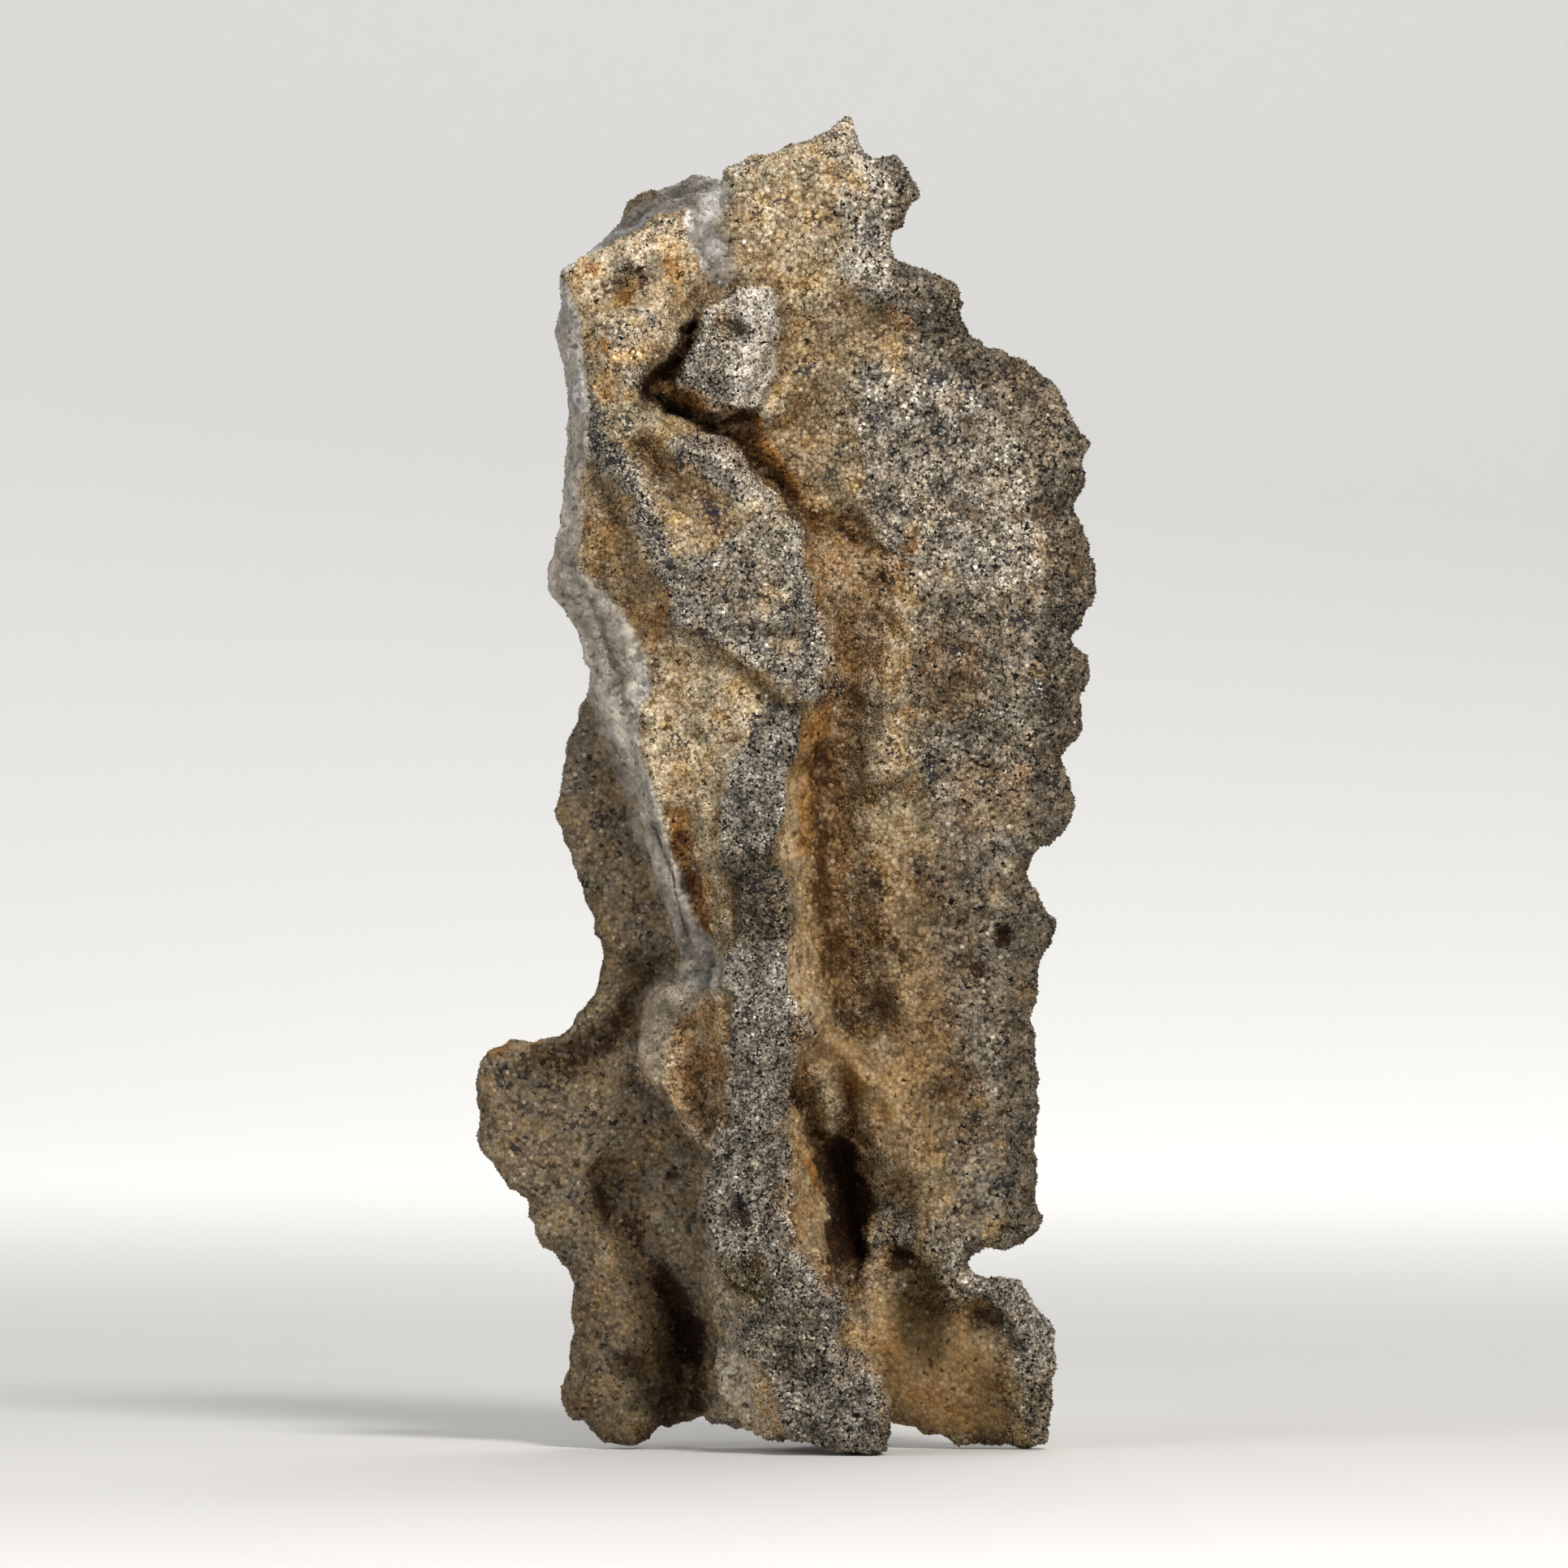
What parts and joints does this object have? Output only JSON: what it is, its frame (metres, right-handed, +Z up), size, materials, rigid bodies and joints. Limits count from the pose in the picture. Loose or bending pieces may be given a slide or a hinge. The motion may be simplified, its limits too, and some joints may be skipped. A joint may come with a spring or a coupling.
{
  "type": "fulgurite",
  "caption": "Winged sand fulgurite: upright fused-sand stone with ragged, nodular wings and a glassy broken side, standing on its broken lower end.",
  "frame": {"origin": "centre of the bounding box, on the floor that the broken lower end stands on", "axes": "+Z up along the stone's length, -Y towards the viewer of the picture, +X towards the large wing on the right"},
  "size_m": [0.0274, 0.0186, 0.058],
  "materials": {
    "fused_sand": "rough sandy crust with glassy broken faces"
  },
  "bodies": {
    "root": {"fulgurite": "fused_sand"}
  },
  "joints": []
}
